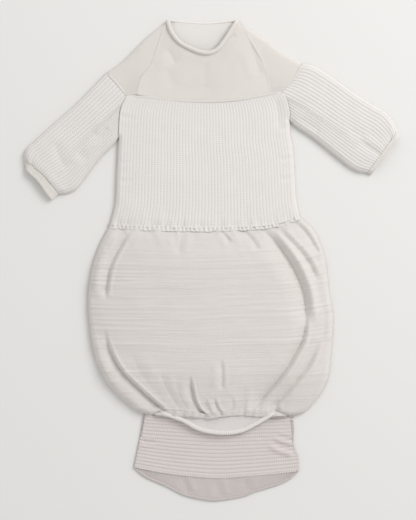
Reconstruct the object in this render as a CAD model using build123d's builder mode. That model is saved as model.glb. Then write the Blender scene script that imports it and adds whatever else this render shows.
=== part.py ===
from build123d import *
import os

# A knitted sleeping gown for a small baby, laid flat on its back, in millimetres.
# Seen from above, +X is to the right, +Y runs from the foot flap to the neck and +Z points up.
# Left and right in the names are as seen from above, with the front of the gown upwards.
# The origin is the centre of the footprint, on the surface that the gown lies on.
# Every piece is a plan region, raised to the garment's crowned form and hollowed by its inside.

# ---- Driving dimensions -------------------------------------------------------------------------
CLOTH = 2.2  # thickness of the knitted cloth
RIDGE = 0.9  # how far a seam stands out of the cloth beside it
SEAM = 2.4  # width of a flat seam
GAP = 0.4  # clear width between a folding piece and the body that it folds on
TALL = 60.0  # taller than any form, for cutting
EDGE_STEPS = 10  # spans of a curved edge that is drawn again
GATHER = 5.0  # width of the gathered waist seam
ROLL_RADIUS = 2.3  # radius of the rolled neck and hem edges
FRONT_ROLL_HEIGHT = 10.4  # height of the middle of the front neck roll
BACK_ROLL_HEIGHT = 2.6  # height of the middle of the back neck roll
HEM_ROLL_HEIGHT = 10.0  # height of the middle of the hem roll
TURNED_EDGE = 4.0  # width of the turned edge of the flap's plain end
MOUTH_INSET = 9.0  # how far a sleeve's opening to the body stops short of the fold line's ends
MOUTH_REACH = 14.0  # how far an opening is cut through on each side of its line
FLAP_PLAIN = 1.8  # thickness of the flap's plain end
SLEEVE_SPARE = 60.0  # how far a sleeve's form runs on past its ends, for cutting
CUFF_SPARE = 0.3  # share of a cuff's width by which its cutting region is wider
SEAM_START = 2.4  # how far an underarm seam starts from the sleeve's fold line

# The crowned form of the body: place along Y, height in the middle, height at the two sides.
FORM_CENTRE = -3.0
FORM_HALF_WIDTH = 185.0
BODY_FORM = [
    (335, 13.0, 8.0),
    (270, 13.5, 8.0),
    (200, 14.0, 8.0),
    (130, 14.0, 8.0),
    (75, 15.0, 8.5),
    (30, 19.0, 10.0),
    (-20, 24.0, 12.0),
    (-90, 26.0, 12.0),
    (-150, 21.5, 11.0),
    (-185, 15.5, 10.0),
    (-210, 12.5, 10.0),
    (-245, 11.5, 10.0),
]
SLEEVE_CROWN = 12.5  # height of a sleeve along its middle
SLEEVE_RIM = 8.0  # height of a sleeve at its edges
SLEEVE_HALF_WIDTH = 62.0

# ---- Outlines in plan ---------------------------------------------------------------------------
LEFT_WAIST, RIGHT_WAIST = (-133, 43), (115, 55)
LEFT_UNDERARM, RIGHT_UNDERARM = (-121, 158), (102, 180)
LEFT_SHOULDER, RIGHT_SHOULDER = (-137, 243), (118, 255)
LEFT_NECK, RIGHT_NECK = (-57, 311), (34.5, 311)
LEFT_SEAM_END, RIGHT_SEAM_END = (-110, 212), (91, 217)

LEFT_SIDE = [LEFT_WAIST, (-125, 77), (-122, 120), LEFT_UNDERARM]
RIGHT_SIDE = [RIGHT_UNDERARM, (107, 137), (110, 91), RIGHT_WAIST]
LEFT_SHOULDER_EDGE = [LEFT_SHOULDER, (-115, 259), (-85, 289), LEFT_NECK]
RIGHT_SHOULDER_EDGE = [RIGHT_NECK, (70, 287), (92, 270), RIGHT_SHOULDER]
WAIST = [LEFT_WAIST, (-62, 40), (-8, 39), (66, 42), RIGHT_WAIST]
YOKE_LINE = [LEFT_SEAM_END, (-36, 205), (37, 207), RIGHT_SEAM_END]
FRONT_NECK = [LEFT_NECK, (-45, 285), (-10, 268), (17, 285), RIGHT_NECK]
BACK_NECK = [LEFT_NECK, (-10, 307), RIGHT_NECK]
LEFT_RAGLAN = [LEFT_NECK, (-66, 287), (-78, 251), (-90, 236), (-97, 214)]
RIGHT_RAGLAN = [RIGHT_NECK, (55, 277), (67, 255), (73, 233), (77, 216)]
LEFT_ARMHOLE = [LEFT_SHOULDER, (-124, 229), LEFT_SEAM_END]
RIGHT_ARMHOLE = [RIGHT_SHOULDER, (107, 234), RIGHT_SEAM_END]

BAG_LEFT = [LEFT_WAIST, (-156, -12), (-161, -51), (-154, -120), (-124, -176), (-76, -203)]
BAG_RIGHT = [RIGHT_WAIST, (143, 18), (154, -43), (157, -112), (139, -181), (98, -204)]
HEM_LEFT, HEM_RIGHT = (-68, -199), (84, -198)
HEM_EDGE = [HEM_LEFT, (-16, -222), (10, -227.5), (36, -225), HEM_RIGHT]
HEM_GATHER = [HEM_LEFT, (-6, -204), (37, -199), HEM_RIGHT]

FOLD_Y = -232.0  # the line that the foot flap folds along
FLAP_TOP_LEFT, FLAP_TOP_RIGHT = (-86, -190), (103, -190)
FLAP_FOLD_LEFT, FLAP_FOLD_RIGHT = (-93, FOLD_Y), (107, FOLD_Y)
FLAP_LEFT_TIP, FLAP_RIGHT_TIP = (-101, -271), (114, -276)
FLAP_STITCHES = [FLAP_LEFT_TIP, (-51, -280), (4, -285), (76, -280), FLAP_RIGHT_TIP]
FLAP_END_EDGE = [FLAP_LEFT_TIP, (-60, -295), (10, -314.5), (79, -296), FLAP_RIGHT_TIP]

SLEEVE_SHAPES = {
    "left": {
        "shoulder": LEFT_SHOULDER,
        "underarm": LEFT_UNDERARM,
        "upper": [(-176, 203), (-223, 161), (-240, 146), (-244.4, 130)],
        "cuff_top": (-241, 128),
        "cuff_low": (-200, 85),
        "lower": [(-190, 84), (-176, 92), (-162, 110), (-146, 131)],
        "cuff_end": [(-243, 117), (-205, 79)],
        "axis_from": (-129, 200),
        "axis_to": (-225, 108),
    },
    "right": {
        "shoulder": RIGHT_SHOULDER,
        "underarm": RIGHT_UNDERARM,
        "upper": [(159, 236), (210, 201), (232, 185)],
        "cuff_top": (240, 163),
        "cuff_low": (202, 115),
        "lower": [(190, 115), (166, 131), (130, 159)],
        "cuff_end": [(244.4, 158), (208, 111)],
        "axis_from": (110, 218),
        "axis_to": (226, 135),
    },
}


# ---- Building blocks ----------------------------------------------------------------------------
def region(*lines):
    """A closed plan region, from lines that run end to end: straight if two points, else curved."""
    with BuildSketch() as plan:
        with BuildLine():
            for points in lines:
                if len(points) == 2:
                    Line(*points)
                else:
                    Spline(*points)
        make_face()
    return plan.sketch


def polygon(points):
    """A closed plan region with straight sides."""
    with BuildSketch() as plan:
        with BuildLine():
            Polyline(*points, close=True)
        make_face()
    return plan.sketch


def redrawn(plan):
    """The same plan region, with each of its curved edges drawn again through its own points."""
    with BuildSketch() as copy:
        for face in plan.faces():
            with BuildLine():
                for edge in face.outer_wire().edges():
                    if edge.geom_type == GeomType.LINE:
                        Line(edge @ 0, edge @ 1)
                    else:
                        Spline(*(edge @ (step / EDGE_STEPS) for step in range(EDGE_STEPS + 1)))
            make_face()
    return copy.sketch


def band(points, width):
    """A narrow plan strip of this width along a curve."""
    with BuildSketch() as plan:
        with BuildLine():
            if len(points) == 2:
                Line(*points)
            else:
                Spline(*points)
        trace(line_width=width)
    return redrawn(plan.sketch)


def raised(plan, low=-1.0, high=TALL):
    """The upright block over a plan region."""
    with BuildPart() as block:
        with BuildSketch(Plane.XY.offset(low)):
            add(plan)
        extrude(amount=high - low)
    return block.part


def mouth(start, end, reach):
    """A plan rectangle across a line from start to end, reaching this far on each side of it."""
    start, end = Vector(*start), Vector(*end)
    across = Vector(0, 0, 1).cross(end - start).normalized() * reach
    return polygon([start - across, end - across, end + across, start + across])


def body_form(drop):
    """The space under the body's crowned upper surface, lowered by drop."""
    with BuildPart() as form:
        for y, crown, rim in BODY_FORM:
            left, right = FORM_CENTRE - FORM_HALF_WIDTH, FORM_CENTRE + FORM_HALF_WIDTH
            with BuildSketch(Plane.XZ.offset(-y)):
                with BuildLine():
                    Polyline((left, rim - drop), (left, 0), (right, 0), (right, rim - drop))
                    ThreePointArc(
                        (left, rim - drop), (FORM_CENTRE, crown - drop), (right, rim - drop)
                    )
                make_face()
        loft()
    return form.part


def sleeve_form(shape, drop):
    """The space under one sleeve's arched upper surface, lowered by drop."""
    start = Vector(*shape["axis_from"])
    along = Vector(*shape["axis_to"]) - start
    across = Vector(0, 0, 1).cross(along).normalized()
    section = Plane(origin=start, x_dir=across, z_dir=along)
    rim, crown = SLEEVE_RIM - drop, SLEEVE_CROWN - drop
    with BuildPart() as form:
        with BuildSketch(section):
            with BuildLine():
                Polyline(
                    (-SLEEVE_HALF_WIDTH, rim),
                    (-SLEEVE_HALF_WIDTH, 0),
                    (SLEEVE_HALF_WIDTH, 0),
                    (SLEEVE_HALF_WIDTH, rim),
                )
                ThreePointArc((-SLEEVE_HALF_WIDTH, rim), (0, crown), (SLEEVE_HALF_WIDTH, rim))
            make_face()
        extrude(amount=along.length + SLEEVE_SPARE, both=True)
    return form.part


def save(builder, name):
    """Labels one finished piece and writes it to its own file."""
    builder.part.label = name
    export_step(builder.part, f"parts/{name}.step")


os.makedirs("parts", exist_ok=True)

# ---- The body's plan and its forms --------------------------------------------------------------
torso_plan = region(
    LEFT_SIDE,
    [LEFT_UNDERARM, LEFT_SHOULDER],
    LEFT_SHOULDER_EDGE,
    [LEFT_NECK, RIGHT_NECK],
    RIGHT_SHOULDER_EDGE,
    [RIGHT_SHOULDER, RIGHT_UNDERARM],
    RIGHT_SIDE,
    WAIST[::-1],
)
bag_plan = region(BAG_LEFT, [BAG_LEFT[-1], BAG_RIGHT[-1]], BAG_RIGHT[::-1], WAIST[::-1])
hem_plan = region(HEM_EDGE, [HEM_RIGHT, HEM_LEFT])
body_plan = torso_plan + bag_plan

outer_form = body_form(0)
ridge_form = body_form(-RIDGE)
inner_form = body_form(CLOTH)

# The inside: the body's plan drawn in by the cloth, open at the neck, the armholes and the foot.
inside_plan = redrawn(offset(body_plan, amount=-CLOTH))
inside_plan += mouth((-53, 308), (31, 308), 24)
inside_plan += mouth((-124, 174), (-134, 228), 14)
inside_plan += mouth((105, 194), (115, 240), 14)
inside_plan += mouth((-52, -205), (68, -205), 40)
inside = raised(inside_plan, CLOTH) & inner_form


# ---- Bodice, yoke and shoulder caps -------------------------------------------------------------
centre_region = region(
    LEFT_RAGLAN,
    [LEFT_RAGLAN[-1], (-97, 200)],
    [(-97, 200), (77, 200)],
    [(77, 200), RIGHT_RAGLAN[-1]],
    RIGHT_RAGLAN[::-1],
    [RIGHT_NECK, LEFT_NECK],
)
bodice_region = region(
    LEFT_SIDE,
    [LEFT_UNDERARM, LEFT_SEAM_END],
    YOKE_LINE,
    [RIGHT_SEAM_END, RIGHT_UNDERARM],
    RIGHT_SIDE,
    WAIST[::-1],
)
above_yoke_line = torso_plan - bodice_region
front_neck_region = region(FRONT_NECK, [RIGHT_NECK, LEFT_NECK])
back_neck_region = region(BACK_NECK, [RIGHT_NECK, LEFT_NECK])
left_head_region = region(LEFT_ARMHOLE, [LEFT_SEAM_END, LEFT_UNDERARM], [LEFT_UNDERARM, LEFT_SHOULDER])
right_head_region = region(
    RIGHT_ARMHOLE, [RIGHT_SEAM_END, RIGHT_UNDERARM], [RIGHT_UNDERARM, RIGHT_SHOULDER]
)
cap_region = above_yoke_line - centre_region - left_head_region - right_head_region
yoke_region = centre_region - bodice_region

left_half = polygon([(-200, 150), (-10, 150), (-10, 340), (-200, 340)])
right_half = polygon([(-10, 150), (200, 150), (200, 340), (-10, 340)])

# ---- Bag, hem band and all the panels -----------------------------------------------------------
hem_region = region(HEM_EDGE, HEM_GATHER[::-1])
flap_top_plan = polygon([FLAP_TOP_LEFT, FLAP_FOLD_LEFT, FLAP_FOLD_RIGHT, FLAP_TOP_RIGHT])

# Each panel is its plan between two heights, under the crowned form, less the inside.
for name, plan, low, high in (
    ("front_bodice", bodice_region, CLOTH, TALL),
    ("back_bodice", bodice_region, 0, CLOTH),
    ("front_yoke", yoke_region - front_neck_region, CLOTH, TALL),
    ("back_yoke", yoke_region - back_neck_region, 0, CLOTH),
    ("left_shoulder_cap", cap_region & left_half, 0, TALL),
    ("right_shoulder_cap", cap_region & right_half, 0, TALL),
    ("left_sleeve_head", left_head_region, 0, TALL),
    ("right_sleeve_head", right_head_region, 0, TALL),
    ("front_bag", bag_plan + hem_plan - hem_region, CLOTH, TALL),
    ("back_bag", bag_plan, 0, CLOTH),
    ("front_hem_band", hem_region, CLOTH, TALL),
):
    with BuildPart() as panel:
        with BuildSketch(Plane.XY.offset(low)):
            add(plan)
        extrude(amount=high - low)
        add(outer_form, mode=Mode.INTERSECT)
        add(inside, mode=Mode.SUBTRACT)
    save(panel, name)

# ---- Hem roll -----------------------------------------------------------------------------------
with BuildPart() as hem_roll:
    with BuildLine(Plane.XY.offset(HEM_ROLL_HEIGHT)) as hem_path:
        Spline(*HEM_EDGE)
    with BuildSketch(Plane(origin=hem_path.line @ 0, z_dir=hem_path.line % 0)):
        Circle(ROLL_RADIUS)
    sweep()
    add(raised(bag_plan + hem_plan), mode=Mode.SUBTRACT)
save(hem_roll, "hem_roll")

# ---- Neck rolls ---------------------------------------------------------------------------------
above_neck = polygon([LEFT_NECK, RIGHT_NECK, (34.5, 330), (-57, 330)])

for name, curve, height, opening in (
    ("front_neck_roll", FRONT_NECK, FRONT_ROLL_HEIGHT, front_neck_region),
    ("back_neck_roll", BACK_NECK, BACK_ROLL_HEIGHT, back_neck_region),
):
    with BuildPart() as neck_roll:
        with BuildLine(Plane.XY.offset(height)) as neck_path:
            Spline(*curve)
        with BuildSketch(Plane(origin=neck_path.line @ 0, z_dir=neck_path.line % 0)):
            Circle(ROLL_RADIUS)
        sweep()
        add(raised(opening + above_neck), mode=Mode.INTERSECT)
    save(neck_roll, name)

# ---- Seams that stand on the crowned front ------------------------------------------------------
for name, curve, width in (
    ("left_front_raglan_seam", LEFT_RAGLAN, SEAM),
    ("right_front_raglan_seam", RIGHT_RAGLAN, SEAM),
    ("front_yoke_seam", YOKE_LINE, SEAM),
    ("left_armhole_seam", LEFT_ARMHOLE, SEAM),
    ("right_armhole_seam", RIGHT_ARMHOLE, SEAM),
    ("front_waist_gather", WAIST, GATHER),
    ("hem_gather", HEM_GATHER, SEAM),
):
    strip = (band(curve, width) & (body_plan + hem_plan)) - front_neck_region
    if name.endswith("armhole_seam"):
        strip -= band(YOKE_LINE, 2 * SEAM)
    with BuildPart() as front_seam:
        with BuildSketch(Plane.XY.offset(CLOTH)):
            add(strip)
        extrude(amount=TALL - CLOTH)
        add(ridge_form, mode=Mode.INTERSECT)
        add(outer_form, mode=Mode.SUBTRACT)
    save(front_seam, name)

# ---- Seams inside the back, where their allowances lie ------------------------------------------
for name, curve, width in (
    ("left_back_raglan_seam", LEFT_RAGLAN, SEAM),
    ("right_back_raglan_seam", RIGHT_RAGLAN, SEAM),
    ("back_yoke_seam", YOKE_LINE, SEAM),
    ("back_waist_gather", WAIST, GATHER),
    ("flap_join", [BAG_LEFT[-1], BAG_RIGHT[-1]], SEAM),
):
    strip = band(curve, width)
    with BuildPart() as back_seam:
        with BuildSketch(Plane.XY.offset(CLOTH)):
            add(strip)
        extrude(amount=RIDGE)
        add(inside, mode=Mode.INTERSECT)
    save(back_seam, name)

# ---- Seams along the outer edges ----------------------------------------------------------------
torso_side = polygon([(-160, 50), (160, 58), (160, 172), (-160, 148)])
bag_side = polygon([(-200, 40), (200, 50), (200, -200), (-200, -200)])
for name, curve, stretch in (
    ("left_side_seam", LEFT_SIDE, torso_side),
    ("right_side_seam", RIGHT_SIDE, torso_side),
    ("left_bag_seam", BAG_LEFT, bag_side),
    ("right_bag_seam", BAG_RIGHT, bag_side),
):
    strip = (band(curve, 2 * RIDGE) & stretch) - body_plan - flap_top_plan
    with BuildPart() as edge_seam:
        with BuildSketch(Plane.XY.offset(CLOTH - RIDGE)):
            add(strip)
        extrude(amount=2 * RIDGE)
    save(edge_seam, name)

# ---- Sleeves and cuffs, each folding on the line from shoulder to underarm ----------------------
for side, shape in SLEEVE_SHAPES.items():
    shoulder, underarm = Vector(*shape["shoulder"]), Vector(*shape["underarm"])
    end_top, end_low = (Vector(*corner) for corner in shape["cuff_end"])
    cuff_top, cuff_low = Vector(*shape["cuff_top"]), Vector(*shape["cuff_low"])
    outward = (end_top + end_low - shoulder - underarm).normalized()
    step = outward * GAP
    sleeve_plan = region(
        [shoulder + step, *shape["upper"], end_top],
        [end_top, end_low],
        [end_low, *shape["lower"], underarm + step],
        [underarm + step, shoulder + step],
    )
    beyond = outward * TALL
    spread = (cuff_top - cuff_low) * CUFF_SPARE
    cuff_side = polygon(
        [cuff_top + spread, cuff_low - spread, cuff_low - spread + beyond, cuff_top + spread + beyond]
    )
    sleeve_hollow = redrawn(offset(sleeve_plan, amount=-CLOTH))
    inset = (shoulder - underarm).normalized() * MOUTH_INSET
    sleeve_hollow += mouth(underarm + inset, shoulder - inset, MOUTH_REACH)
    inset = (end_top - end_low).normalized() * CLOTH
    sleeve_hollow += mouth(end_low + inset, end_top - inset, MOUTH_REACH)
    sleeve_inside = raised(sleeve_hollow, CLOTH) & sleeve_form(shape, CLOTH)
    sleeve_outside = sleeve_form(shape, 0)

    for name, plan in (
        (f"{side}_sleeve", sleeve_plan - cuff_side),
        (f"{side}_cuff", sleeve_plan & cuff_side),
    ):
        with BuildPart() as sleeve_piece:
            with BuildSketch():
                add(plan)
            extrude(amount=TALL)
            add(sleeve_outside, mode=Mode.INTERSECT)
            add(sleeve_inside, mode=Mode.SUBTRACT)
        save(sleeve_piece, name)

    seam_start = underarm + outward * SEAM_START
    strip = band([end_low, *shape["lower"], seam_start], 2 * RIDGE) - sleeve_plan - body_plan
    with BuildPart() as underarm_seam:
        with BuildSketch(Plane.XY.offset(CLOTH - RIDGE)):
            add(strip)
        extrude(amount=2 * RIDGE)
    save(underarm_seam, f"{side}_underarm_seam")

# ---- Foot flap, folding on the line below the hem roll ------------------------------------------
with BuildPart() as flap_root:
    with BuildSketch():
        add(flap_top_plan)
        add(bag_plan, mode=Mode.SUBTRACT)
    extrude(amount=CLOTH)
save(flap_root, "flap_root")

fold_step = Vector(0, -GAP)
rib_left, rib_right = Vector(*FLAP_FOLD_LEFT) + fold_step, Vector(*FLAP_FOLD_RIGHT) + fold_step
with BuildPart() as flap_rib:
    with BuildSketch():
        add(
            region(
                FLAP_STITCHES,
                [FLAP_RIGHT_TIP, rib_right],
                [rib_right, rib_left],
                [rib_left, FLAP_LEFT_TIP],
            )
        )
    extrude(amount=CLOTH)
save(flap_rib, "flap_rib")

flap_end_plan = region(FLAP_STITCHES, FLAP_END_EDGE[::-1])
with BuildPart() as flap_end:
    with BuildSketch():
        add(flap_end_plan)
    extrude(amount=FLAP_PLAIN)
save(flap_end, "flap_end")

with BuildPart() as flap_stitch_row:
    with BuildSketch(Plane.XY.offset(CLOTH)):
        add(band(FLAP_STITCHES, SEAM))
    extrude(amount=RIDGE)
save(flap_stitch_row, "flap_stitch_row")

with BuildPart() as flap_edge:
    with BuildSketch(Plane.XY.offset(FLAP_PLAIN)):
        add(band(FLAP_END_EDGE, 2 * TURNED_EDGE) & flap_end_plan)
        add(band(FLAP_STITCHES, SEAM + 1), mode=Mode.SUBTRACT)
    extrude(amount=RIDGE)
save(flap_edge, "flap_edge")
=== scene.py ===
import math

import bpy
import numpy as np
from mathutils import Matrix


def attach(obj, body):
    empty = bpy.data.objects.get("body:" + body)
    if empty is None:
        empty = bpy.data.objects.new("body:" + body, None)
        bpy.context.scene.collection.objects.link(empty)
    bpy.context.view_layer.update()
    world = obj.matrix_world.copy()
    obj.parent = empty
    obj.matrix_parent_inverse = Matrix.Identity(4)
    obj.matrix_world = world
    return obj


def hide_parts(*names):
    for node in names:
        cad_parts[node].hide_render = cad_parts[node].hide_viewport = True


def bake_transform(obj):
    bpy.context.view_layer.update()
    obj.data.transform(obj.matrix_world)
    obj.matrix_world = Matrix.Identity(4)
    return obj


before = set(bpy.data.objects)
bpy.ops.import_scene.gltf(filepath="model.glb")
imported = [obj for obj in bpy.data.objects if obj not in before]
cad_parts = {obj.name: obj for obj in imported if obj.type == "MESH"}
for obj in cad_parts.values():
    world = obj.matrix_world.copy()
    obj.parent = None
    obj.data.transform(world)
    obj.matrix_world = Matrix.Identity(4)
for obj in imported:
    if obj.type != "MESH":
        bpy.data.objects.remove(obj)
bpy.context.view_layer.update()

# A knitted sleeping gown for a small baby, laid flat. Lengths here are millimetres, made metres
# when a mesh is written. Left and right are as seen from above, with the front upwards.

MM = 0.001
CLOTH = 1.4  # thickness of a knitted panel
REST = 0.15  # how far the back cloth's underside stands off the floor
EDGE = 1.9  # height at which front and back meet along a closed edge
BODICE_RIBS = 57
SLEEVE_RIBS = 20  # across one face of a sleeve
SLEEVE_LENGTH = 150  # along the knitting, from armhole to cuff
FLAP_RIBS = 16
RIB_STEPS = 6  # mesh columns in one rib
RIB_PITCH = 4.4  # width of one rib in the knitting's own measure
STEP = 1.3  # usual spacing of a mesh's points

# ---- Outlines in plan ---------------------------------------------------------------------------
LEFT_WAIST, RIGHT_WAIST = (-133, 43.5), (115, 55.5)
LEFT_UNDERARM, RIGHT_UNDERARM = (-121, 158), (102, 180)
LEFT_SHOULDER, RIGHT_SHOULDER = (-137, 243), (118, 255)
LEFT_NECK, RIGHT_NECK = (-57, 311), (34.5, 311)
LEFT_CORNER, RIGHT_CORNER = (-110, 212), (91, 217)
LEFT_RAGLAN_END, RIGHT_RAGLAN_END = (-97, 213), (77, 213.5)
HEM_LEFT, HEM_RIGHT = (-68, -199), (84, -198)
FLAP_LEFT_TIP, FLAP_RIGHT_TIP = (-101, -271), (114, -276)

LEFT_SIDE = [LEFT_UNDERARM, (-122, 143), (-123.5, 110), (-125, 77), (-128, 61), LEFT_WAIST]
RIGHT_SIDE = [RIGHT_UNDERARM, (103.4, 161), (107, 137), (109.6, 91), (111, 76), RIGHT_WAIST]
LEFT_TOP = [LEFT_NECK, (-85, 289), (-115, 259), LEFT_SHOULDER]
RIGHT_TOP = [RIGHT_NECK, (70, 287), (92, 270), RIGHT_SHOULDER]
WAIST = [LEFT_WAIST, (-100, 41), (-62, 40), (-8, 39), (66, 42), (96, 48), RIGHT_WAIST]
YOKE_LINE = [LEFT_CORNER, (-72, 208.5), (-36, 205), (0, 204), (37, 207), (64, 211.5), RIGHT_CORNER]
YOKE_BOTTOM = [LEFT_RAGLAN_END, (-72, 208.5), (-36, 205), (0, 204), (37, 207), (64, 211.5),
               RIGHT_RAGLAN_END]
FRONT_NECK = [LEFT_NECK, (-53, 297), (-45, 285), (-33, 276), (-10, 267.5), (6, 271), (18, 285),
              RIGHT_NECK]
BACK_NECK = [LEFT_NECK, (-10, 307), RIGHT_NECK]
LEFT_RAGLAN = [LEFT_NECK, (-66, 287), (-78, 251), (-90, 236), LEFT_RAGLAN_END]
RIGHT_RAGLAN = [RIGHT_NECK, (55, 277), (67, 255), (73, 233), RIGHT_RAGLAN_END]
LEFT_ARMHOLE = [LEFT_SHOULDER, (-124, 229), LEFT_CORNER]
RIGHT_ARMHOLE = [RIGHT_SHOULDER, (107, 234), RIGHT_CORNER]
LEFT_BODICE_EDGE = [LEFT_CORNER, (-117.5, 196), (-120, 178), LEFT_UNDERARM]
RIGHT_BODICE_EDGE = [RIGHT_CORNER, (98, 206), (101.5, 192), RIGHT_UNDERARM]
BAG_LEFT = [LEFT_WAIST, (-146, 18), (-156, -12), (-161, -51), (-159, -86), (-154, -120),
            (-141, -155), (-124, -176), (-102, -195), (-85, -202.5), (-76, -203), HEM_LEFT]
BAG_RIGHT = [RIGHT_WAIST, (132.5, 39), (143, 18), (150, -8), (154, -43), (159, -77), (157, -112),
             (155, -140), (150, -162), (139, -181), (122, -199), (104, -204.5), (97, -203.5),
             HEM_RIGHT]
HEM_EDGE = [HEM_LEFT, (-40, -208), (-16, -220.5), (10, -225.5), (36, -223.5), (57, -214),
            HEM_RIGHT]
HEM_GATHER = [HEM_LEFT, (-31, -198.5), (-6, -201.5), (15, -198.5), (37, -197), (57, -198.5),
              HEM_RIGHT]
FLAP_STITCHES = [FLAP_LEFT_TIP, (-51, -280), (4, -285), (41, -283), (76, -280), FLAP_RIGHT_TIP]
FLAP_END_EDGE = [FLAP_LEFT_TIP, (-85, -284), (-60, -295), (-36, -307), (-5, -313.5), (10, -314),
                 (41, -309), (56, -303), (79, -296), (99, -288), FLAP_RIGHT_TIP]

SLEEVES = {
    "left": {
        "upper": [LEFT_SHOULDER, (-176, 203), (-210, 173), (-223, 161), (-233, 152), (-240, 146),
                  (-244, 138), (-243.5, 129)],
        "lower": [LEFT_UNDERARM, (-129, 148), (-146, 131), (-162.5, 109.5), (-176, 92),
                  (-188, 86), (-199, 85)],
        "start": [LEFT_SHOULDER, (-124, 229), LEFT_CORNER, (-117.5, 196), (-120, 178),
                  LEFT_UNDERARM],
        "seam": [(-243.5, 129), (-231.5, 119.6), (-217, 107), (-207, 95), (-199, 85)],
        "end": [(-243.8, 119), (-237, 111), (-227, 102), (-215, 85), (-207.5, 77)],
        "flat": (0.196, 0.160),  # metres
        "cuff_flat": (0.126, 0.0102),
        "cuff_area": 0.00128,
        "dents": [([(-203, 156), (-199, 136), (-188, 116)], 1.6, 7, 7, 0.6, 0.4),
                  ([(-160, 168), (-146, 160), (-134, 172)], 1.2, 6, 6, 0.3, 0.5),
                  ([(-176, 140), (-160, 128)], 0.9, 6, 5, 0.4, 0.4)],
    },
    "right": {
        "upper": [RIGHT_SHOULDER, (133, 252), (159, 236), (185, 217), (210, 201), (227, 191),
                  (237.5, 178), (242, 166)],
        "lower": [RIGHT_UNDERARM, (114, 170), (130, 159.5), (150, 144), (166, 131), (180, 120),
                  (192, 114), (203, 112.5)],
        "start": [RIGHT_SHOULDER, (107, 234), RIGHT_CORNER, (98, 206), (101.5, 192),
                  RIGHT_UNDERARM],
        "seam": [(242, 166), (222, 139), (203, 112.5)],
        "end": [(244.3, 159), (227, 134), (207.5, 109.5)],
        "flat": (0.174, 0.157),
        "cuff_flat": (0.132, 0.0102),
        "cuff_area": 0.00086,  # the band is 6.5 mm wide, less than a sheet's least length
        "dents": [([(190, 155), (206, 144), (221, 134)], 2.4, 4, 6, 0.8, 0.5),
                  ([(178, 168), (198, 160)], 0.9, 6, 6, 0.3, 0.3),
                  ([(110, 186), (124, 176), (142, 165)], 1.3, 8, 6, 0.5, 0.3)],
    },
}

# A fold is its line, its depth, how wide it is on the left hand and on the right hand of the way
# its line runs, and the height of the roll of cloth beside it on the left and on the right hand.
# The bag's folds run downwards, so their left hand is towards +X.
BAG_FOLDS = [
    ([(-140, -84), (-133, -116), (-118, -144), (-97, -166), (-72, -189), (-52, -205)],
     9.0, 2.3, 7.5, 2.2, 2.2),
    ([(-28, -148), (-25, -168), (-21, -184), (-14, -197), (-3, -206)], 6.0, 1.5, 5.5, 2.2, 0.4),
    ([(12, -126), (13.5, -148), (13.5, -170)], 2.4, 2.4, 4.5, 0.8, 0.9),
    ([(3, -178), (7, -192), (15, -204)], 2.6, 1.8, 3.2, 1.2, 0.6),
    ([(-9, -180), (-5, -192), (2, -204)], 1.4, 2.2, 4.0, 0.7, 0.4),
    ([(123, -56), (120, -98), (107, -126), (89, -154), (66, -182), (50, -200)],
     8.5, 2.3, 8.5, 2.4, 0.6),
    ([(142, -100), (129, -132), (113, -155), (93, -179), (72, -203)], 6.0, 2.4, 7.0, 2.4, 0.6),
    ([(-100, 44), (-113, 25), (-125, 4), (-133, -18), (-138, -54)], 6.5, 2.4, 6.5, 1.6, 2.8),
    ([(54, 47), (80, 25), (99, 0), (113, -26), (121, -52), (123, -86)],
     9.5, 5.0, 11.0, 4.6, 1.0),
    ([(75, 47), (101, 24), (124, -2), (138, -30)], 3.6, 3.2, 4.6, 2.0, 0.6),
    ([(103, 53), (123, 33), (142, 4)], 3.4, 3.2, 4.2, 1.5, 0.6),
    ([(11, 39), (17, 31), (25, 21)], 2.6, 2.0, 3.4, 1.1, 0.4),
    ([(-36, 38), (-40, 24), (-42, 6)], 1.2, 4.0, 5.0, 0.4, 0.3),
    ([(-108, 42), (-124, 28), (-140, 12)], 1.4, 4.0, 4.0, 0.6, 0.6),
    ([(36, 41), (50, 28), (62, 10)], 2.4, 3.2, 4.6, 1.0, 0.3),
    ([(-68, -142), (-57, -170), (-40, -198)], 2.0, 5.0, 8.0, 1.2, 0.6),
    ([(-48, -150), (-42, -176), (-28, -200)], 1.3, 4.0, 6.0, 0.8, 0.4),
    ([(-106, -116), (-90, -150), (-60, -186)], 1.4, 7.0, 10.0, 0.8, 0.6),
    ([(42, -160), (40, -182), (33, -201)], 1.2, 4.0, 7.0, 0.6, 0.4),
    ([(26, -176), (27, -190), (24, -202)], 1.2, 2.6, 4.0, 0.8, 0.3),
    ([(-150, -20), (-153, -60), (-150, -100)], 0.8, 6.0, 6.0, 0.2, 0.4),
    ([(146, -40), (147, -80), (144, -110)], 1.2, 5.0, 6.0, 0.6, 0.3),
]
BODICE_PUCKERS = [
    ([(-120, 186), (-111, 184), (-103, 185)], 0.7, 2.6, 2.6, 0.5, 0.3),
    ([(-123, 127), (-114, 125), (-106, 127)], 0.6, 2.6, 2.6, 0.4, 0.3),
    ([(-124, 103), (-112, 101), (-102, 103)], 0.6, 2.6, 2.6, 0.4, 0.3),
    ([(84, 168), (92, 169), (103, 172)], 0.8, 3.0, 3.0, 0.5, 0.3),
    ([(86, 129), (96, 130), (107, 133)], 0.7, 2.8, 2.8, 0.5, 0.3),
    ([(86, 103), (97, 104), (109, 107)], 0.7, 2.8, 2.8, 0.4, 0.3),
    ([(80, 213), (86, 196), (88, 170)], 1.2, 5.0, 6.0, 0.6, 0.3),
]
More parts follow.
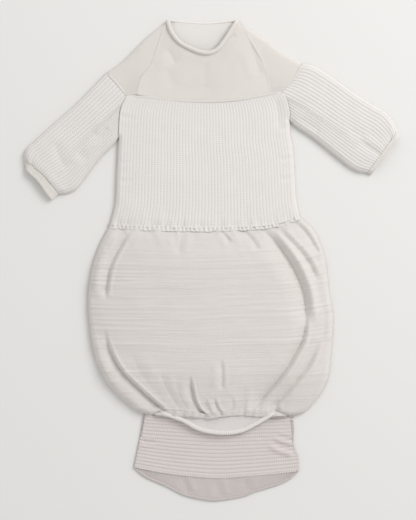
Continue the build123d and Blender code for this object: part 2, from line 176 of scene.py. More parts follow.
YOKE_FOLDS = [
    ([(18, 288), (25, 289), (31, 292)], 1.4, 1.8, 3.0, 0.5, 0.3),
    ([(-60, 276), (-53, 266), (-46, 252)], 2.0, 7.0, 8.0, 0.5, 0.8),
    ([(-62, 250), (-54, 238), (-50, 222)], 0.7, 6.0, 8.0, 0.3, 0.5),
    ([(-10, 262), (-8, 240), (-10, 218)], 0.6, 8.0, 10.0, 0.3, 0.3),
    ([(45, 286), (56, 262), (64, 236)], 0.9, 5.0, 6.0, 0.6, 0.5),
]


# ---- Curves, patches and noise ------------------------------------------------------------------
def curve(points, count):
    """This many evenly spaced points on a smooth curve through the given points."""
    points = np.array(points, float)
    if len(points) > 2:
        padded = np.vstack([2 * points[0] - points[1], points, 2 * points[-1] - points[-2]])
        t = np.linspace(0, 1, 24, endpoint=False)[:, None]
        runs = []
        for a, b, c, d in zip(padded[:-3], padded[1:-2], padded[2:-1], padded[3:]):
            runs.append(
                0.5 * (2 * b + (c - a) * t + (2 * a - 5 * b + 4 * c - d) * t**2
                       + (3 * b - a - 3 * c + d) * t**3)
            )
        points = np.vstack([*runs, points[-1:]])
    travelled = np.concatenate([[0], np.cumsum(np.linalg.norm(np.diff(points, axis=0), axis=1))])
    wanted = np.linspace(0, travelled[-1], count)
    return np.stack([np.interp(wanted, travelled, points[:, i]) for i in (0, 1)], axis=1)


def length(points):
    """The length of the smooth curve through these points."""
    return float(np.linalg.norm(np.diff(curve(points, 200), axis=0), axis=1).sum())


def patch(left, right, top, bottom, columns, rows):
    """A grid of plan points between four edge curves; left and right run from top to bottom."""
    u, v = np.linspace(0, 1, columns)[None, :, None], np.linspace(0, 1, rows)[:, None, None]
    left, right = curve(left, rows)[:, None], curve(right, rows)[:, None]
    top, bottom = curve(top, columns)[None], curve(bottom, columns)[None]
    corners = (
        (1 - u) * (1 - v) * top[:, :1] + u * (1 - v) * top[:, -1:]
        + (1 - u) * v * bottom[:, :1] + u * v * bottom[:, -1:]
    )
    return (1 - v) * top + v * bottom + (1 - u) * left + u * right - corners


def smooth(low, high, value):
    """Rises smoothly from 0 at low to 1 at high."""
    t = np.clip((value - low) / (high - low), 0, 1)
    return t * t * (3 - 2 * t)


def noise(x, y, size, seed):
    """Smooth noise from -1 to 1, with bumps of about this size."""
    table = np.random.default_rng(seed).uniform(-1, 1, (97, 97))
    x, y = np.asarray(x) / size + 41.3, np.asarray(y) / size + 23.7
    column, row = np.floor(x).astype(int), np.floor(y).astype(int)
    fx, fy = x - column, y - row
    fx, fy = fx * fx * (3 - 2 * fx), fy * fy * (3 - 2 * fy)
    column, row = column % 96, row % 96
    low = table[row, column] * (1 - fx) + table[row, column + 1] * fx
    high = table[row + 1, column] * (1 - fx) + table[row + 1, column + 1] * fx
    return low * (1 - fy) + high * fy


def beside(plan, line):
    """Each plan point's place along a polyline, 0 to 1, and its distance, positive on the left."""
    flat = plan.reshape(-1, 2)
    nearest = ((line**2).sum(1) - 2 * flat @ line.T).argmin(1)
    best, place, off = np.full(len(flat), np.inf), np.zeros(len(flat)), np.zeros(len(flat))
    for back in (1, 0):
        first = np.clip(nearest - back, 0, len(line) - 2)
        run = line[first + 1] - line[first]
        rel = flat - line[first]
        t = np.clip((rel * run).sum(1) / (run**2).sum(1), 0, 1)
        reach = np.linalg.norm(rel - t[:, None] * run, axis=1)
        side = np.where(run[:, 0] * rel[:, 1] - run[:, 1] * rel[:, 0] < 0, -1, 1)
        closer = reach < best
        best = np.where(closer, reach, best)
        place = np.where(closer, (first + t) / (len(line) - 1), place)
        off = np.where(closer, side * reach, off)
    return place.reshape(plan.shape[:-1]), off.reshape(plan.shape[:-1])


CLOSED_EDGES = [
    np.vstack([curve(LEFT_TOP, 40), curve(SLEEVES["left"]["upper"], 80)[1:], [(-243.5, 117)]]),
    np.vstack([[(-205, 79)], curve(SLEEVES["left"]["lower"], 70)[::-1], curve(LEFT_SIDE, 40)[1:],
               curve(BAG_LEFT, 120)[1:]]),
    np.vstack([curve(RIGHT_TOP, 40), curve(SLEEVES["right"]["upper"], 80)[1:], [(244.3, 159)]]),
    np.vstack([[(207.5, 109.5)], curve(SLEEVES["right"]["lower"], 70)[::-1],
               curve(RIGHT_SIDE, 40)[1:], curve(BAG_RIGHT, 120)[1:]]),
]
WAIST_LINE = curve(WAIST, 60)


def edge_distance(plan):
    """Distance of each plan point from the nearest closed edge of the gown."""
    return np.min([np.abs(beside(plan, line)[1]) for line in CLOSED_EDGES], axis=0)


def front_height(plan, apart=None):
    """Height of the front cloth: rounded along the closed edges, and crowned between them."""
    apart = edge_distance(plan) if apart is None else apart
    y = plan[..., 1]
    bag = smooth(62, -10, y)
    hem = smooth(-140, -222, y)
    radius = 6.4 + 2.6 * bag * (1 - hem)
    crown = 3.2 + bag * (10.5 - 11.7 * hem)
    reach = 26 + 26 * bag
    inset = 1 - np.clip(apart / radius, 0, 1)
    rounded = radius * np.sqrt(1 - inset**2)
    full = crown * (1 - np.exp(-np.clip(apart - 0.4 * radius, 0, None) / reach))
    pinch = 2.6 * np.exp(-((np.abs(beside(plan, WAIST_LINE)[1]) / 9) ** 2))
    return EDGE + rounded + full - pinch * np.clip(apart / 12, 0, 1)


def back_height(plan, apart=None):
    """Height of the back cloth's underside: flat on the floor, turned up at the closed edges."""
    apart = edge_distance(plan) if apart is None else apart
    inset = 1 - np.clip(apart / 3.0, 0, 1)
    return REST + (EDGE - REST) * (1 - np.sqrt(1 - inset**2))


def folds(plan, table):
    """Height added by folds: a sharp crease with a roll of cloth on each side, fading at its ends."""
    total = np.zeros(plan.shape[:-1])
    for points, depth, wide_left, wide_right, roll_left, roll_right in table:
        place, off = beside(plan, curve(points, 28))
        fade = smooth(0, 0.35, place) * smooth(1.0, 0.85, place)
        wide = np.where(off > 0, wide_left, wide_right)
        roll = np.where(off > 0, roll_left, roll_right)
        apart = np.abs(off)
        raised = roll * np.exp(-(((apart - 2.0 * wide) / (1.1 * wide)) ** 2))
        total += fade * (raised - depth * np.exp(-apart / wide))
    return total


def rib(phase):
    """Height across ribs, 0 in each groove and 1 on each crest."""
    return np.sqrt(np.clip(1 - (2 * (phase % 1) - 1) ** 2, 0, 1))


# ---- Meshes -------------------------------------------------------------------------------------
def quads(rows, columns, wrap):
    """The corners of each face of a grid, whose last column joins its first if it wraps."""
    index = np.arange(rows * columns).reshape(rows, columns)
    after = np.roll(index, -1, axis=1)
    if not wrap:
        index, after = index[:, :-1], after[:, :-1]
    return np.stack([index[:-1], index[1:], after[1:], after[:-1]], axis=-1)


def mesh_piece(name, points, faces, knit, material, nodes):
    """A smooth mesh object, with the place of each point in the knitting as an attribute."""
    mesh = bpy.data.meshes.new(name)
    mesh.from_pydata((points.reshape(-1, 3) * MM).tolist(), [], faces.reshape(-1, 4).tolist())
    mesh.polygons.foreach_set("use_smooth", np.ones(len(mesh.polygons), bool))
    attribute = mesh.attributes.new("knit", "FLOAT_VECTOR", "POINT")
    attribute.data.foreach_set("vector", knit.reshape(-1).astype(np.float32))
    mesh.materials.append(material)
    mesh.update()
    piece = bpy.data.objects.new(name, mesh)
    bpy.context.scene.collection.objects.link(piece)
    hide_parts(*nodes)
    return piece


def cloth(name, points, knit, material, nodes, up=1, wrap=False, thick=CLOTH):
    """A sheet or tube of cloth, its outer face on these points; up is -1 if it faces down."""
    rows, columns = points.shape[:2]
    faces = quads(rows, columns, wrap)
    a, b, _, d = points.reshape(-1, 3)[faces[rows // 2, columns // (4 if wrap else 2)]]
    if np.cross(b - a, d - a)[2] * up < 0:
        faces = faces[..., ::-1]
    piece = mesh_piece(name, points, faces, knit, material, nodes)
    solid = piece.modifiers.new("thickness", "SOLIDIFY")
    solid.thickness = thick * MM
    solid.offset = -1
    return piece


def with_height(plan, height):
    """Points in space over these plan points."""
    return np.concatenate([plan, height[..., None]], axis=-1)


def closed_round(front, back):
    """One ring of points per row, from a front and a back that meet along both side edges."""
    back[:, 0], back[:, -1] = front[:, 0], front[:, -1]
    return np.concatenate([front, back[:, -2:0:-1]], axis=1)


def knit_place(across, along, shade):
    """Place across the knitting and along it, and how deep in a groove each point lies, which sets the
    painted shade there.
    """
    return np.stack(np.broadcast_arrays(across, along, shade), axis=-1)


def along_line(line, count):
    """Points along a curve, the direction to the left at each one, and the way travelled."""
    centre = curve(line, count)
    forward = np.gradient(centre, axis=0)
    forward /= np.linalg.norm(forward, axis=1)[:, None]
    sideways = np.stack([-forward[:, 1], forward[:, 0]], axis=1)
    return centre, sideways, np.linspace(0, length(line), count)


def tube(name, line, height, radius, material, nodes, flat=0.8, pitch=2.4, bead=0.12,
         sides=10, step=0.7, taper=0.0):
    """A rolled edge or a seam: a tube on a plan curve, beaded by its stitches."""
    count = max(int(length(line) / step), 8)
    centre, sideways, travelled = along_line(line, count)
    size = radius * (1 + bead * np.sin(2 * math.pi * travelled / pitch))
    size *= 1 - taper * (1 - np.minimum(1, np.minimum(travelled, travelled[::-1]) / 8))
    z = height(centre) if callable(height) else np.full(count, float(height))
    angle = np.linspace(0, 2 * math.pi, sides, endpoint=False)
    plan = centre[:, None] + sideways[:, None] * (size[:, None] * np.cos(angle))[..., None]
    level = z[:, None] + flat * size[:, None] * np.sin(angle)
    points = with_height(plan, level)
    knit = knit_place(angle[None] * radius, travelled[:, None], 0.0)
    faces = quads(count, sides, True)
    a, b, _, d = points.reshape(-1, 3)[faces[count // 2, sides // 4]]
    if np.cross(b - a, d - a)[2] < 0:
        faces = faces[..., ::-1]
    piece = mesh_piece(name, points, faces, knit, material, nodes)
    mesh = piece.data
    for row in (0, count - 1):
        close_ring(mesh, list(range(row * sides, (row + 1) * sides)))
    return piece


def close_ring(mesh, ring):
    """Closes the end of a tube with one flat face."""
    first = len(mesh.loops)
    mesh.loops.add(len(ring))
    mesh.polygons.add(1)
    for offset, vertex in enumerate(ring):
        mesh.loops[first + offset].vertex_index = vertex
    face = mesh.polygons[-1]
    face.loop_start = first
    mesh.update(calc_edges=True)
    mesh.validate()


# ---- Materials ----------------------------------------------------------------------------------
def knit_material(name, colour, wale=1.6, course=1.25, depth=0.3, groove=0.0,
                  course_line=0.0, course_tone=0.0):
    """Knitted yarn: rows of V stitches, soft fibres, uneven dye, and painted shade between the
    stitches and in the grooves.
    """
    material = bpy.data.materials.new(name)
    material.use_nodes = True
    nodes, links = material.node_tree.nodes, material.node_tree.links
    shader = nodes["Principled BSDF"]

    def step(operation, *values):
        node = nodes.new("ShaderNodeMath")
        node.operation = operation
        for socket, value in zip(node.inputs, values):
            if isinstance(value, (int, float)):
                socket.default_value = value
            else:
                links.new(value, socket)
        return node.outputs[0]

    def zigzag(value):
        """Falls from 1 to 0 and rises again over each whole step of the value."""
        centred = step("SUBTRACT", step("FRACT", value), 0.5)
        return step("MULTIPLY", step("ABSOLUTE", centred), 2.0)

    place = nodes.new("ShaderNodeAttribute")
    place.attribute_name = "knit"
    split = nodes.new("ShaderNodeSeparateXYZ")
    links.new(place.outputs["Vector"], split.inputs[0])
    across, along, low = split.outputs

    # One V stitch: two legs that lean together, repeated across and along.
    leg = zigzag(step("DIVIDE", across, wale))
    lean = step("ADD", step("DIVIDE", along, course), step("MULTIPLY", leg, 0.55))
    turn = zigzag(lean)
    round_leg = step("SUBTRACT", 1.0, step("POWER", turn, 2.4))
    gap = step("SUBTRACT", 1.0, step("MULTIPLY", step("POWER", leg, 5.0), 0.7))
    stitch = step("MULTIPLY", round_leg, gap)

    def fibres(scale, detail, rough):
        node = nodes.new("ShaderNodeTexNoise")
        node.inputs["Scale"].default_value = scale
        node.inputs["Detail"].default_value = detail
        node.inputs["Roughness"].default_value = rough
        links.new(place.outputs["Vector"], node.inputs["Vector"])
        return node.outputs[0]

    fine = fibres(2.6, 3.0, 0.6)
    uneven = fibres(0.06, 3.0, 0.55)
    streak = nodes.new("ShaderNodeTexNoise")
    streak.inputs["Scale"].default_value = 1.0
    streak.inputs["Detail"].default_value = 2.0
    stretch = nodes.new("ShaderNodeVectorMath")
    stretch.operation = "MULTIPLY"
    stretch.inputs[1].default_value = (0.012, 0.62, 0.0)
    links.new(place.outputs["Vector"], stretch.inputs[0])
    links.new(stretch.outputs[0], streak.inputs["Vector"])

    relief = step("ADD", stitch, step("MULTIPLY", fine, 0.6))
    relief = step("ADD", relief, step("MULTIPLY", streak.outputs[0], course_line))
    bump = nodes.new("ShaderNodeBump")
    bump.inputs["Strength"].default_value = 0.8
    bump.inputs["Distance"].default_value = depth * MM
    links.new(relief, bump.inputs["Height"])
    links.new(bump.outputs[0], shader.inputs["Normal"])

    # Light and dark of the yarn: painted shade between the stitches and in the grooves, and uneven dye
    # overall.
    yarn_tone_and_shade = step("ADD", 0.95, step("MULTIPLY", stitch, 0.05))
    yarn_tone_and_shade = step("MULTIPLY", yarn_tone_and_shade, step("ADD", 0.98, step("MULTIPLY", uneven, 0.04)))
    yarn_tone_and_shade = step("MULTIPLY", yarn_tone_and_shade, step("ADD", 0.985, step("MULTIPLY", fine, 0.03)))
    # Painted shade in the grooves, as strong as the knit attribute's third value says.
    yarn_tone_and_shade = step("MULTIPLY", yarn_tone_and_shade, step("SUBTRACT", 1.0, step("MULTIPLY", low, groove)))
    lines = step("SUBTRACT", step("MULTIPLY", streak.outputs[0], 2.0), 1.0)
    yarn_tone_and_shade = step("MULTIPLY", yarn_tone_and_shade, step("ADD", 1.0, step("MULTIPLY", lines, course_tone)))
    paint = nodes.new("ShaderNodeMix")
    paint.data_type = "RGBA"
    paint.inputs["A"].default_value = (0, 0, 0, 1)
    paint.inputs["B"].default_value = (*colour, 1)
    links.new(yarn_tone_and_shade, paint.inputs["Factor"])
    links.new(paint.outputs["Result"], shader.inputs["Base Color"])
    shader.inputs["Roughness"].default_value = 0.92
    shader.inputs["Specular IOR Level"].default_value = 0.25
    shader.inputs["Sheen Weight"].default_value = 0.12
    shader.inputs["Sheen Roughness"].default_value = 0.5
    return material


plain_knit = knit_material("plain_knit", (0.82, 0.776, 0.734))
# The inside of the back, seen through the neck opening, is the plain knit painted lighter: painted
# light.
inside_knit_painted_lighter = knit_material("inside_knit_painted_lighter", (0.91, 0.88, 0.853))
# The rib knits paint shade into the grooves between their ribs.
rib_knit = knit_material("rib_knit", (0.815, 0.782, 0.758), wale=RIB_PITCH, course=2.8, depth=0.36,
                         groove=0.08)
slub_knit = knit_material("slub_knit", (0.785, 0.744, 0.716), course_line=2.6, course_tone=0.045)
flap_rib_knit = knit_material("flap_rib_knit", (0.745, 0.685, 0.665), wale=RIB_PITCH, course=2.8,
                              depth=0.5, groove=0.13)
flap_plain_knit = knit_material("flap_plain_knit", (0.645, 0.592, 0.57))
cuff_knit = knit_material("cuff_knit", (0.82, 0.778, 0.73))
band_knit = knit_material("band_knit", (0.80, 0.762, 0.742), wale=1.3)
seam_thread = knit_material("seam_thread", (0.83, 0.79, 0.75), wale=1.1, course=1.1)
flap_thread = knit_material("flap_thread", (0.80, 0.745, 0.725), wale=1.1, course=1.1)


# ---- Yoke and shoulder caps ---------------------------------------------------------------------
def panel(name, face, left, right, top, bottom, material, slot, nodes, relief, flat,
          columns=None, rows=None):
    """A sheet between four edges, on the gown's front or back; relief adds height and groove shade."""
    columns = columns or int((length(top) + length(bottom)) / 2 / STEP)
    rows = rows or int((length(left) + length(right)) / 2 / STEP)
    plan = patch(left, right, top, bottom, columns, rows)
    apart = edge_distance(plan)
    u, v = np.meshgrid(np.linspace(0, 1, columns), np.linspace(0, 1, rows))
    added, shade = relief(plan, apart, u, v)
    base, up = (front_height, 1) if face == "front" else (back_height, -1)
    points = with_height(plan, base(plan, apart) + added)
    knit_width = BODICE_RIBS * RIB_PITCH if slot == "rib_knit" else flat[0] / MM
    knit = knit_place(u * knit_width, v * flat[1] / MM, shade)
    piece = cloth(name, points, knit, material, nodes, up=up)
    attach(piece, "gown")
    return piece


def still(plan, apart, u, v):
    """No relief but the softness of the cloth."""
    soft = 0.25 * (1 + noise(plan[..., 0], plan[..., 1], 30, 5)) * smooth(2, 12, apart)
    return soft, np.zeros(plan.shape[:-1])


def yoke_relief(plan, apart, u, v):
    """Soft waves and a few shallow folds."""
    x, y = plan[..., 0], plan[..., 1]
    soft = 0.45 * noise(x, y, 48, 1) + 0.12 * noise(x, y, 22, 2)
    return (soft + folds(plan, YOKE_FOLDS)) * smooth(0, 8, apart), np.zeros(plan.shape[:-1])


def back_yoke_relief(plan, apart, u, v):
    """Lies a little off the floor towards the neck."""
    lift = 1.2 * smooth(262, 300, plan[..., 1]) * smooth(2, 14, apart)
    return still(plan, apart, u, v)[0] + lift, np.zeros(plan.shape[:-1])


YOKE_FLAT = (0.174, 0.107)
panel("front_yoke_cloth", "front", LEFT_RAGLAN, RIGHT_RAGLAN, FRONT_NECK, YOKE_BOTTOM, plain_knit,
      "plain_knit", ["front_yoke"], yoke_relief, YOKE_FLAT)
panel("back_yoke_cloth", "back", LEFT_RAGLAN, RIGHT_RAGLAN, BACK_NECK, YOKE_BOTTOM, inside_knit_painted_lighter,
      "plain_knit", ["back_yoke"], back_yoke_relief, YOKE_FLAT)

for side, top, raglan, armhole, end, corner in (
    ("left", LEFT_TOP, LEFT_RAGLAN, LEFT_ARMHOLE, LEFT_RAGLAN_END, LEFT_CORNER),
    ("right", RIGHT_TOP, RIGHT_RAGLAN, RIGHT_ARMHOLE, RIGHT_RAGLAN_END, RIGHT_CORNER),
):
    # The cap goes over the shoulder: down the front, and back under along the same plan.
    columns, rows = 48, 40
    plan = patch(top, [end, corner], raglan, armhole, columns, rows)
    plan = np.swapaxes(plan, 0, 1)  # rows now run from the shoulder edge to the yoke line
    apart = edge_distance(plan)
    x, y = plan[..., 0], plan[..., 1]
    soft = (0.4 * noise(x, y, 30, 3) + 0.2 * noise(x, y, 11, 4)) * smooth(0, 8, apart)
    front = with_height(plan, front_height(plan, apart) + soft)
    back = with_height(plan, back_height(plan, apart))
    points = np.concatenate([back[::-1], front[1:]])
    span = np.linspace(-1, 1, len(points))[:, None]
    knit = knit_place(np.linspace(0, 60, points.shape[1])[None], span * 80, 0.0)
    faces = quads(*points.shape[:2], False)
    a, b, _, d = points.reshape(-1, 3)[faces[-columns // 3, points.shape[1] // 2]]
    if np.cross(b - a, d - a)[2] < 0:
        faces = faces[..., ::-1]
    cap = mesh_piece(f"{side}_cap_cloth", points, faces, knit, plain_knit,
                     [f"{side}_shoulder_cap"])
    solid = cap.modifiers.new("thickness", "SOLIDIFY")
    solid.thickness = CLOTH * MM
    solid.offset = -1
    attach(cap, "gown")


# ---- Bodice -------------------------------------------------------------------------------------
def bodice_relief(plan, apart, u, v):
    """Ribs, bunched towards the waist, and the lip of cloth beside each armhole."""
    crest = rib(u * BODICE_RIBS)
    x, y = plan[..., 0], plan[..., 1]
    above_waist = np.abs(beside(plan, WAIST_LINE)[1])
    gather = np.exp(-above_waist / 9)
    bunch = 1.3 * gather * noise(x, y * 0.2, 7, 8) + 0.9 * gather * noise(x, y * 0.3, 4, 9)
    soft = 0.45 * noise(x, y, 46, 10) + 0.22 * noise(x, y, 17, 11)
    lapped = 0.9 * np.exp(-(beside(plan, curve(LEFT_BODICE_EDGE, 20))[1] / 9) ** 2)
    lapped += 0.7 * np.exp(-(beside(plan, curve(RIGHT_BODICE_EDGE, 20))[1] / 9) ** 2)
    settled = smooth(0, 7, apart)
    uneven = 1 + 0.18 * noise(x * 0.3, y, 9, 12)
    height = 0.33 * crest * uneven + (soft + bunch + folds(plan, BODICE_PUCKERS)) * settled
    # Along with the height goes painted shade, deepest in the grooves between the ribs.
    return height + lapped * settled, (1 - crest) * 0.7


def back_bodice_relief(plan, apart, u, v):
    """Ribs only, pressed flat by the floor."""
    crest = rib(u * BODICE_RIBS)
    # Along with the height goes painted shade, deepest in the grooves between the ribs.
    return 0.45 * (1 - crest), (1 - crest) * 0.9


bodice_left = LEFT_BODICE_EDGE + LEFT_SIDE[1:]
bodice_right = RIGHT_BODICE_EDGE + RIGHT_SIDE[1:]
BODICE_FLAT = (0.248, 0.178)
for name, face, relief, rows in (
    ("front_bodice", "front", bodice_relief, 88),
    ("back_bodice", "back", back_bodice_relief, 24),
):
    panel(f"{name}_cloth", face, bodice_left, bodice_right, YOKE_LINE, WAIST, rib_knit, "rib_knit",
          [name], relief, BODICE_FLAT, columns=BODICE_RIBS * RIB_STEPS + 1,
          rows=rows)

# ---- Sleeves and cuffs --------------------------------------------------------------------------
CUFF_MESH = (14, 90)  # rows along a cuff, columns across one face
CUFF_ROUND, CUFF_WIDTH = 120, 12  # a cuff's size in the knitting's own measure
CUFF_CLOTH = 1.3
BEND_BEFORE, BEND_AFTER = 7, 15  # distances on each side of a sleeve's fold line; the two points they give are worked out but not used

for side, shape in SLEEVES.items():
    across, rows = SLEEVE_RIBS * RIB_STEPS, 80
    plan = patch(shape["start"], shape["seam"], shape["upper"], shape["lower"], rows, across + 1)
    plan = np.swapaxes(plan, 0, 1)  # rows along the sleeve, columns across it
    apart = edge_distance(plan)
    u, v = np.meshgrid(np.linspace(0, 1, across + 1), np.linspace(0, 1, rows))
    x, y = plan[..., 0], plan[..., 1]
    crest = rib(u * SLEEVE_RIBS)
    settled = smooth(0, 7, apart)
    tuck = -0.9 * np.exp(-v / 0.03)
    from_cuff = (1 - v) * SLEEVE_LENGTH
    near_cuff = np.exp(-from_cuff / 10)
    bulge = 0.8 * np.exp(-(((from_cuff - 9) / 7) ** 2)) - 0.9 * np.exp(-from_cuff / 2.5)
    bunch = 0.9 * near_cuff * noise(u * 80, v * 20, 6, 21)
    soft = 0.6 * noise(x, y, 34, 22) + 0.3 * noise(x, y, 14, 23) + folds(plan, shape["dents"])
    height = front_height(plan, apart) + 0.62 * crest + (soft + bunch + tuck + bulge) * settled
    front = with_height(plan, height)
    back = with_height(plan, back_height(plan, apart) + 0.4 * (1 - crest))
    points = closed_round(front, back)
    around = np.linspace(0, 2, points.shape[1], endpoint=False)[None]
    # Painted shade in the grooves between the sleeve's ribs, all the way round.
    shade = 1.4 * (1 - rib(around * SLEEVE_RIBS))
    along = np.linspace(0, SLEEVE_LENGTH, rows)[:, None]
    knit = knit_place(around * SLEEVE_RIBS * RIB_PITCH, along, shade)
    sleeve = cloth(f"{side}_sleeve_cloth", points, knit, rib_knit,
                   [f"{side}_sleeve_head", f"{side}_sleeve"], wrap=True)
    fold = curve([shape["start"][0], shape["start"][-1]], 3)[1]
    away = np.array(shape["end"][1]) - fold
    away /= np.linalg.norm(away)
    start, end = fold - away * BEND_BEFORE, fold + away * BEND_AFTER

    rows, across = CUFF_MESH
    plan = patch(shape["seam"], shape["end"], [shape["seam"][0], shape["end"][0]],
                 [shape["seam"][-1], shape["end"][-1]], rows, across + 1)
    plan = np.swapaxes(plan, 0, 1)
    apart = edge_distance(plan)
    u, v = np.meshgrid(np.linspace(0, 1, across + 1), np.linspace(0, 1, rows))
    lift = front_height(plan, apart) - EDGE
    rolled = 0.5 * np.exp(-(((v - 0.8) / 0.15) ** 2)) - 0.2 * np.exp(-v / 0.08)
    height = EDGE + lift * (0.97 - 0.12 * v) + rolled * smooth(0, 5, apart)
    front = with_height(plan, height)
    back = with_height(plan, back_height(plan, apart))
    points = closed_round(front, back)
    around = np.linspace(0, CUFF_ROUND, points.shape[1], endpoint=False)[None]
    knit = knit_place(around, np.linspace(0, CUFF_WIDTH, rows)[:, None], 0.0)
    cuff = cloth(f"{side}_cuff_band", points, knit, cuff_knit, [f"{side}_cuff"],
                 wrap=True, thick=CUFF_CLOTH)

    seam = tube(f"{side}_underarm_seam_line", shape["lower"] + [shape["end"][-1]], EDGE, 0.9,
                seam_thread, [f"{side}_underarm_seam"], taper=0.6)
    for piece in (sleeve, cuff, seam):
        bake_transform(piece)

# ---- Bag ----------------------------------------------------------------------------------------
def slubs(across, along, seed, count):
    """Uneven courses: thick lines of yarn that come and go, close together in clusters."""
    draw = np.random.default_rng(seed)
    height = np.zeros(np.broadcast(across, along).shape)
    centres = draw.uniform(0, 250, 20)
    for _ in range(count):
        line = draw.choice(centres) + draw.normal(0, 6)
        middle, reach = draw.uniform(0, 310), draw.uniform(60, 240)
        thick, width = draw.uniform(0.08, 0.24), draw.uniform(0.6, 1.0)
        wander = 1.2 * np.sin(across / draw.uniform(30, 70) + draw.uniform(0, 6))
        fade = np.exp(-(((across - middle) / reach) ** 4))
        height += thick * fade * np.exp(-(((along - line - wander) / width) ** 2))
    return height


def bag_relief(plan, apart, u, v):
    """Small pleats below the waist and above the hem, the large folds, and the slub lines."""
    x, y = plan[..., 0], plan[..., 1]
    below = np.abs(beside(plan, WAIST_LINE)[1])
    above_hem = np.abs(beside(plan, curve(HEM_GATHER, 60))[1])
    settled = smooth(0, 9, apart)
    pleats = -0.7 * np.exp(-(((below - 4.6) / 1.6) ** 2))
    pleats += 1.3 * np.exp(-below / 7) * noise(x, y * 0.1, 4.2, 31)
    pleats += 1.5 * np.exp(-below / 18) * noise(x + 0.4 * y, y * 0.1, 9, 32)
    pleats += 2.0 * np.exp(-above_hem / 9) * noise(x - 0.15 * y, y * 0.1, 5.2, 33)
    soft = 0.7 * noise(x, y, 60, 34) + 0.3 * noise(x, y, 22, 35)
    yarn = slubs(u * 315, v * 250, 36, 230)
    yarn = yarn * (1 + 2.0 * (2 * u - 1) ** 2)
    return (pleats + soft + folds(plan, BAG_FOLDS)) * settled + yarn, np.zeros(plan.shape[:-1])


def back_bag_relief(plan, apart, u, v):
    """Faint slub lines."""
    return 0.3 * slubs(u * 315, v * 250, 37, 70), np.zeros(plan.shape[:-1])


BAG_FLAT = (0.32, 0.26)
back_left, back_right = BAG_LEFT[:-2], BAG_RIGHT[:-2]
back_bottom = [back_left[-1], (10, -205), back_right[-1]]
panel("front_bag_cloth", "front", BAG_LEFT, BAG_RIGHT, WAIST, HEM_GATHER, slub_knit, "slub_knit",
      ["front_bag"], bag_relief, BAG_FLAT, columns=220, rows=222)
panel("back_bag_cloth", "back", back_left, back_right, WAIST, back_bottom, slub_knit, "slub_knit",
      ["back_bag"], back_bag_relief, BAG_FLAT,
      columns=110, rows=130)


# ---- Hem band and rolled edges ------------------------------------------------------------------
def band_relief(plan, apart, u, v):
    """A shallow hollow between the gather and the roll."""
    x = plan[..., 0]
    soft = 0.4 * noise(x, plan[..., 1], 30, 41) * np.sin(math.pi * v)
    hollow = 0.9 * np.exp(-v / 0.3) - 0.7 * np.sin(math.pi * v)
    return (soft + hollow) * smooth(0, 8, apart), np.zeros(plan.shape[:-1])


band_ends = [(-67.5, -199.7), (83.5, -198.7)]
panel("hem_band_cloth", "front", [HEM_LEFT, band_ends[0]], [HEM_RIGHT, band_ends[1]], HEM_GATHER,
      [band_ends[0], *HEM_EDGE[1:-1], band_ends[1]], band_knit, "plain_knit", ["front_hem_band"],
      band_relief, (0.152, 0.029), columns=150, rows=24)

hem_roll = tube("hem_roll_edge", HEM_EDGE, lambda p: front_height(p) - 0.4, 3.0, rib_knit,
                ["hem_roll"], flat=0.85, pitch=2.8, bead=0.07, sides=18, step=0.45,
                taper=0.4)
front_roll = tube("front_neck_edge", FRONT_NECK, lambda p: np.maximum(front_height(p) + 0.5, 3.2), 2.9,
                  plain_knit,
                  ["front_neck_roll"], flat=1.0, pitch=1.9, bead=0.03, sides=18)
# The back neck roll takes the same knit painted lighter, as painted light.
back_roll = tube("back_neck_edge", BACK_NECK, 2.2, 1.6, inside_knit_painted_lighter,
                 ["back_neck_roll"], flat=1.0, pitch=1.9, bead=0.03, sides=18)

# ---- Seams --------------------------------------------------------------------------------------
body_seams = [
    tube(f"{name}_line", line, lambda p, up=lift: front_height(p) + up, radius, seam_thread,
         [name], flat=flat, taper=0.5)
    for name, line, radius, flat, lift in (
        ("left_front_raglan_seam", LEFT_RAGLAN, 1.3, 0.25, -0.15),
        ("right_front_raglan_seam", RIGHT_RAGLAN, 1.9, 0.3, -0.15),
        ("front_yoke_seam", YOKE_LINE, 1.6, 0.5, 0.2),
        ("left_armhole_seam", LEFT_ARMHOLE, 1.5, 0.5, 0.1),
        ("right_armhole_seam", RIGHT_ARMHOLE, 1.3, 0.4, 0.0),
        ("hem_gather", HEM_GATHER, 1.2, 0.3, -0.6),
    )
]
body_seams += [
    tube(f"{name}_line", line, level, 0.9, seam_thread, [name], taper=0.6)
    for name, line, level in (
        ("left_back_raglan_seam", LEFT_RAGLAN, 2.0),
        ("right_back_raglan_seam", RIGHT_RAGLAN, 2.0),
        ("back_yoke_seam", YOKE_LINE, 2.0),
        ("back_waist_gather", WAIST, 2.2),
        ("flap_join", [BAG_LEFT[-2], BAG_RIGHT[-2]], 2.0),
        ("left_side_seam", LEFT_SIDE, EDGE),
        ("right_side_seam", RIGHT_SIDE, EDGE),
        ("left_bag_seam", BAG_LEFT[:-1], EDGE),
        ("right_bag_seam", BAG_RIGHT[:-1], EDGE),
    )
]

# The gathered waist: a narrow strip whose stitches draw the cloth into small uneven puckers.
count, sides = 420, 11
centre, sideways, travelled = along_line(WAIST, count)
across = np.linspace(-1, 1, sides)
half = 3.6 + 0.9 * noise(travelled, 0 * travelled, 7, 51)
shift = 0.5 * noise(travelled, 0 * travelled, 9, 52)
plan = centre[:, None] + sideways[:, None] * (shift[:, None] + half[:, None] * across)[..., None]
beat = np.sin(2 * math.pi * travelled / 5.6 + 2.4 * noise(travelled, 0 * travelled, 19, 54))
pucker = 0.6 + 0.7 * beat + 0.8 * noise(travelled, 0 * travelled, 4.5, 53)
arch = np.sqrt(1 - across**2)
level = front_height(plan) + pucker[:, None] * arch * np.clip(edge_distance(plan) / 5, 0.2, 1)
